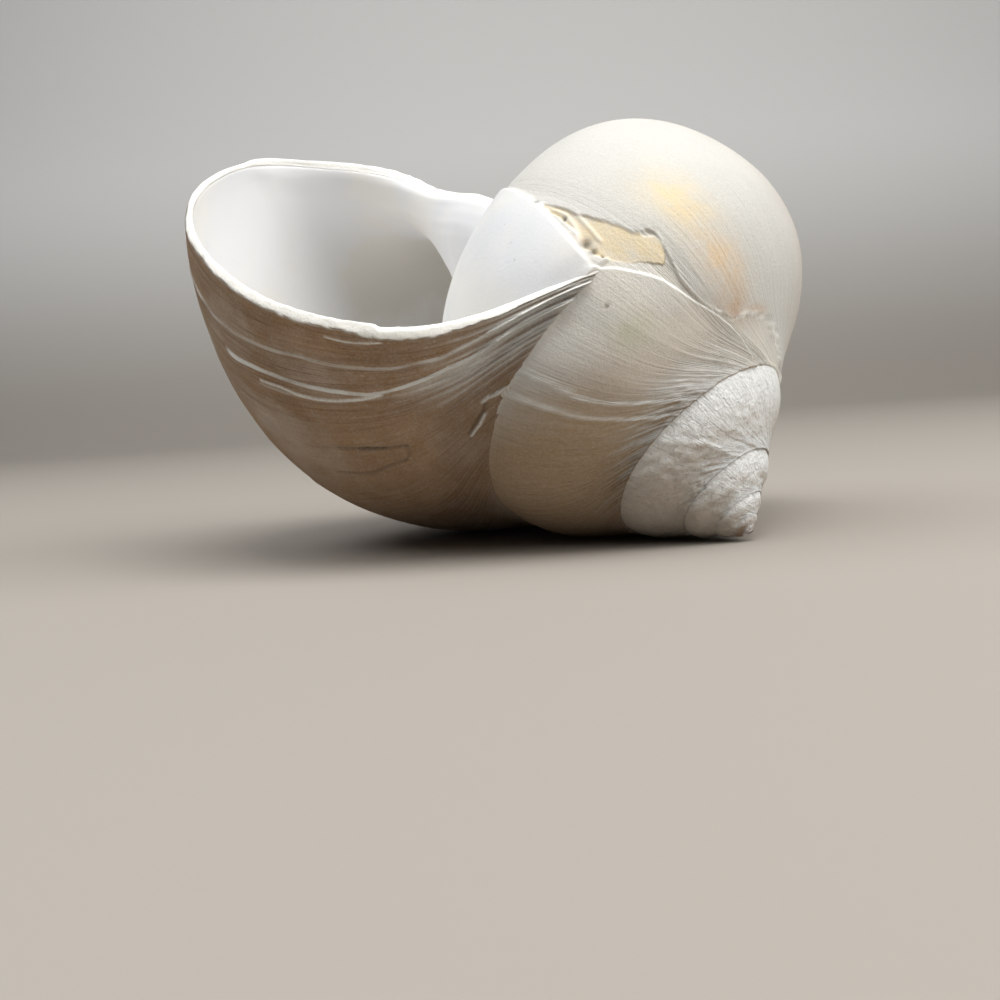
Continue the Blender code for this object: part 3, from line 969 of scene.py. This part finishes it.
def shell_material():
    """Chalk with growth lines, weathering and stains outside, and porcelain inside."""
    s = Surface("weathered_shell")
    metres = s.node("ShaderNodeTexCoord", output="Object")
    place_mm = s.scaled(metres, 1 / MM, 1 / MM, 1 / MM)
    grown = s.node("ShaderNodeCombineXYZ", {}, {"X": s.mask("growth"), "Y": s.mask("across")})
    # weathered carries the brown of the last turn, part weathered stain and part painted shade
    inner, weathered, lines_seen = s.mask("inner"), s.mask("weather_and_shade"), s.mask("lined")
    folds = s.mask("folds")

    # Noise by place, and lines by growth
    large = s.noise(place_mm, 0.06, 4)
    patchy = s.noise(place_mm, 0.13, 5, 0.6)
    medium = s.noise(place_mm, 0.3, 4)
    speck = s.noise(place_mm, 0.9, 3, 0.6, 0.2)
    creased = s.noise(place_mm, 1.0, 4, 0.6, 0.6)
    fine = s.noise(place_mm, 2.2, 5, 0.65)
    grain = s.noise(place_mm, 7.0, 3, 0.6)
    bands = s.noise(s.scaled(grown, 1.0, 0.04, 1.0), 0.16, 2, 0.5)
    lines = s.noise(s.scaled(grown, 1.0, 0.022, 1.0), 0.8, 5, 0.62)
    thin_lines = s.noise(s.scaled(grown, 1.0, 0.02, 1.0), 2.6, 4, 0.6)

    # Chalk
    colour = s.mix(s.spread(large, 0.35, 0.7), CHALK, CHALK_GREY)
    bluish = s.times(s.spread(bands, 0.50, 0.68), s.spread(medium, 0.3, 0.7, 0.2, 0.7))
    colour = s.mix(bluish, colour, BLUISH)
    # Painted shade that dims the upturned top of the last turn
    colour = s.mix(s.times(s.mask("dome_painted_shade"), 0.85), colour, DOME_PAINTED_SHADE)
    colour = s.mix(s.times(s.mask("spire"), 0.95), colour, SPIRE_WHITE)
    faint = s.times(s.spread(thin_lines, 0.50, 0.66, 0.0, 0.40), lines_seen)
    colour = s.mix(faint, colour, CHALK_GREY)
    # Painted shade on the faces turned down as the shell lies
    colour = s.mix(s.times(s.mask("underside_painted_shade"), 0.88), colour, UNDERSIDE_PAINTED_SHADE)

    # Weathering that is part painted shade, with dark and pale streaks, and the folds and ridges at
    # the suture
    weather_and_shade = s.times(weathered, s.spread(medium, 0.2, 0.75, 1.0, 0.88))
    streaked = s.times(weathered, lines_seen)
    # Ridge tops by the suture made lighter: part worn chalk, part painted highlight
    ridges = s.times(s.mask("ridges"), s.spread(fine, 0.3, 0.6, 0.65, 0.85))
    for share, amount, tint in (
        (weather_and_shade, 1.0, WEATHERED_AND_SHADED),
        (s.times(s.spread(patchy, 0.45, 0.65), weathered), 0.30, WEATHERED_AND_SHADED_DARK),
        (s.times(s.spread(lines, 0.48, 0.66), streaked), 0.55, WEATHERED_AND_SHADED_DARK),
        (s.times(s.spread(thin_lines, 0.50, 0.62), streaked), 0.40, WEATHERED_AND_SHADED_DARK),
        (s.times(s.spread(lines, 0.42, 0.30), streaked), 0.18, CHALK_GREY),
        # Painted shade in the dips between the folds at the suture
        (s.times(s.spread(lines, 0.52, 0.42), folds), 0.45, WEATHERED_AND_SHADED),
        # Worn chalk with a painted highlight on the ridge tops
        (ridges, 1.0, CHALK),
        # Painted highlight on the tops of the folds at the suture
        (s.times(s.spread(lines, 0.50, 0.60), folds), 0.65, CHALK),
    ):
        colour = s.mix(s.times(share, amount), colour, tint)

    # Stains, the callus, and the bright crests (part worn chalk, part painted highlight), flakes
    # and edge of the lip
    blotchy = s.times(s.spread(medium, 0.3, 0.65, 0.45, 1.0), s.spread(lines, 0.3, 0.7, 0.7, 1.0))
    for name, tint, amount in TINTS:
        colour = s.mix(s.times(s.times(s.mask(name), blotchy), amount), colour, tint)
    callus = s.mix(s.spread(large, 0.35, 0.6), CALLUS_WHITE, CALLUS_BLUE)
    colour = s.mix(s.times(s.mask("callus"), 0.9), colour, callus)
    # Crest lines: part worn chalk, part painted highlight
    from_line = s.math("MULTIPLY_ADD", fine, 0.3, s.math("SUBTRACT", s.mask("line_at"), 0.15))
    on_line = s.times(s.spread(s.math("ABSOLUTE", from_line), 0.55, 0.15), s.mask("crest_white_and_highlight"))
    for share in (
        s.times(on_line, s.spread(medium, 0.3, 0.5, 0.7, 1.0)),
        s.times(s.mask("flake"), s.spread(fine, 0.3, 0.6, 0.6, 0.95)),
        s.times(s.mask("edge"), s.spread(fine, 0.25, 0.5, 0.8, 1.0)),
    ):
        colour = s.mix(share, colour, LIP_WHITE)

    # Specks, dust, and dirt with painted shade
    speckled = s.times(s.spread(speck, 0.67, 0.72), s.spread(large, 0.48, 0.62))
    dusty = s.times(s.spread(fine, 0.58, 0.72), s.spread(medium, 0.45, 0.65))
    # Dirt with painted shade in the suture, cracks and holes
    dirt_and_shade_share = s.times(s.mask("dirt_and_shade"), s.spread(fine, 0.3, 0.6, 0.7, 1.0))
    for share, tint in (
        (s.times(speckled, 0.45), GREY_SPECK),
        (s.times(dusty, 0.35), CHALK_GREY),
        (s.times(dirt_and_shade_share, 0.92), DIRT_AND_SHADE),
        (s.spread(fine, 0.3, 0.75, 0.0, 0.12), CHALK_BRIGHT),
        (s.times(s.mask("tip"), 0.8), TIP_BROWN),
    ):
        colour = s.mix(share, colour, tint)

    inside_colour = s.mix(s.spread(large, 0.35, 0.6), PORCELAIN, PORCELAIN_BLUE)
    # Taupe deep in the hollow: part stain, part painted shade
    taupe_and_shade = s.times(s.mask("taupe_and_shade"), s.spread(large, 0.62, 0.4, 0.5, 1.0))
    inside_colour = s.mix(taupe_and_shade, inside_colour, TAUPE_AND_SHADE)
    s.give(s.shader.inputs["Base Color"], s.mix(inner, colour, inside_colour))

    smooth_share = s.math("MAXIMUM", inner, s.times(s.mask("callus"), 0.8))
    matte = s.spread(medium, 0.3, 0.7, *MATTE)
    roughness = s.math("MULTIPLY_ADD", smooth_share, -PORCELAIN_SMOOTHER, matte)
    s.give(s.shader.inputs["Roughness"], roughness)
    s.shader.inputs["Specular IOR Level"].default_value = SPECULAR

    # Fine relief: growth lines, creases of the old turns, and the grain of the chalk
    rough_share = s.math("SUBTRACT", 1.0, smooth_share)
    line_share = s.math("MULTIPLY_ADD", folds, 1.2, lines_seen)
    off_edge = s.math("SUBTRACT", rough_share, s.mask("edge"), clamp=True)
    line_height = s.times(s.math("MULTIPLY_ADD", thin_lines, 0.45, lines), line_share)
    normal = s.bump(LINE_HEIGHT, s.times(line_height, off_edge))
    normal = s.bump(FOLD_HEIGHT, s.times(creased, s.mask("wrinkled")), normal)
    chalk_share = s.math("MULTIPLY_ADD", rough_share, 0.9, 0.1)
    chalk_height = s.times(s.math("MULTIPLY_ADD", grain, 0.35, fine), chalk_share)
    s.give(s.shader.inputs["Normal"], s.bump(CHALK_HEIGHT, chalk_height, normal))
    return s.material


# The floor, in metres: how far it reaches in front and to each side, where it bends up, the radius
# and the steps of the bend, and its top. It is brownish below, as light from the cork would be, and
# pale from a little height on.
FLOOR_FRONT, FLOOR_SIDE, FLOOR_TOP = -1.2, 1.6, 1.6
BEND_AT, BEND_RADIUS, BEND_STEPS = 0.55, 0.35, 12
FLOOR_BROWN, FLOOR_PALE = (0.34, 0.31, 0.275), (0.80, 0.80, 0.795)
PALE_HEIGHT = 0.25
FLOOR_ROUGHNESS = 0.9


def floor_piece():
    """A plain pale floor that curves up behind the shell."""
    depth = [(FLOOR_FRONT, 0.0), (BEND_AT, 0.0)]
    for number in range(1, BEND_STEPS + 1):
        turn = number / BEND_STEPS * math.pi / 2
        back, up = BEND_RADIUS * math.sin(turn), BEND_RADIUS * (1 - math.cos(turn))
        depth.append((BEND_AT + back, up))
    depth.append((BEND_AT + BEND_RADIUS, FLOOR_TOP))
    vertices = [(x, y, z) for y, z in depth for x in (-FLOOR_SIDE, FLOOR_SIDE)]
    faces = [(2 * i, 2 * i + 1, 2 * i + 3, 2 * i + 2) for i in range(len(depth) - 1)]
    mesh = bpy.data.meshes.new("floor")
    mesh.from_pydata(vertices, [], faces)
    mesh.shade_smooth()
    s = Surface("floor_paint")
    metres = s.node("ShaderNodeTexCoord", output="Object")
    height = s.node("ShaderNodeSeparateXYZ", {}, {"Vector": metres}, "Z")
    colour = s.mix(s.spread(height, 0.0, PALE_HEIGHT), FLOOR_BROWN, FLOOR_PALE)
    s.give(s.shader.inputs["Base Color"], colour)
    s.shader.inputs["Roughness"].default_value = FLOOR_ROUGHNESS
    mesh.materials.append(s.material)
    floor = bpy.data.objects.new("floor", mesh)
    bpy.context.scene.collection.objects.link(floor)
    return floor


# Soft lights, as (name, position, size, power, colour), the point that they face, and the room
LIGHTS = (
    ("key", (0.08, -0.20, 0.78), 0.50, 4.6, (1.0, 0.99, 0.965)),
    ("side_right", (0.55, -0.30, 0.50), 0.80, 5.4, (1.0, 0.99, 0.97)),
    ("side_left", (-0.40, 0.0, 0.70), 0.70, 3.6, (0.97, 0.985, 1.0)),
)
LIT_POINT = (0, 0, 0.04)
ROOM_COLOUR = (0.80, 0.82, 0.85)
ROOM_LIGHT = 0.06

# The camera, fitted to the photo: lens and sensor in millimetres, place in metres, and degrees
LENS, SENSOR = 44.064, 36.0
CLIP_START = 0.01
CAMERA_PLACE = (-0.000452, -0.238034, 0.029717)
CAMERA_ANGLES = (84.45, 3.99, 0.14)


def area_light(name, position, size, power, colour):
    """A soft round light that faces the shell."""
    light = bpy.data.lights.new(name, "AREA")
    light.shape = "DISK"
    light.size = size
    light.energy = power
    light.color = colour
    lamp = bpy.data.objects.new(name, light)
    lamp.location = position
    towards = Vector(LIT_POINT) - Vector(position)
    lamp.rotation_euler = towards.to_track_quat("-Z", "Y").to_euler()
    bpy.context.scene.collection.objects.link(lamp)


def photo_camera():
    """The camera at the photo's viewing angle."""
    data = bpy.data.cameras.new("camera")
    data.lens = LENS
    data.sensor_width = SENSOR
    data.clip_start = CLIP_START
    camera = bpy.data.objects.new("camera", data)
    camera.location = CAMERA_PLACE
    camera.rotation_euler = [math.radians(angle) for angle in CAMERA_ANGLES]
    bpy.context.scene.collection.objects.link(camera)
    bpy.context.scene.camera = camera


def room():
    """Faint light from all round, and colours as the lights give them."""
    world = bpy.data.worlds.new("room")
    world.use_nodes = True
    background = world.node_tree.nodes["Background"]
    background.inputs["Color"].default_value = (*ROOM_COLOUR, 1.0)
    background.inputs["Strength"].default_value = ROOM_LIGHT
    bpy.context.scene.world = world
    bpy.context.scene.view_settings.view_transform = "Standard"


coat = shell_material()
for shell in shell_pieces():
    shell.data.materials.append(coat)
    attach(shell, "root")
    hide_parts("shell")

floor = floor_piece()
photo_camera()
for lamp in LIGHTS:
    area_light(*lamp)
room()
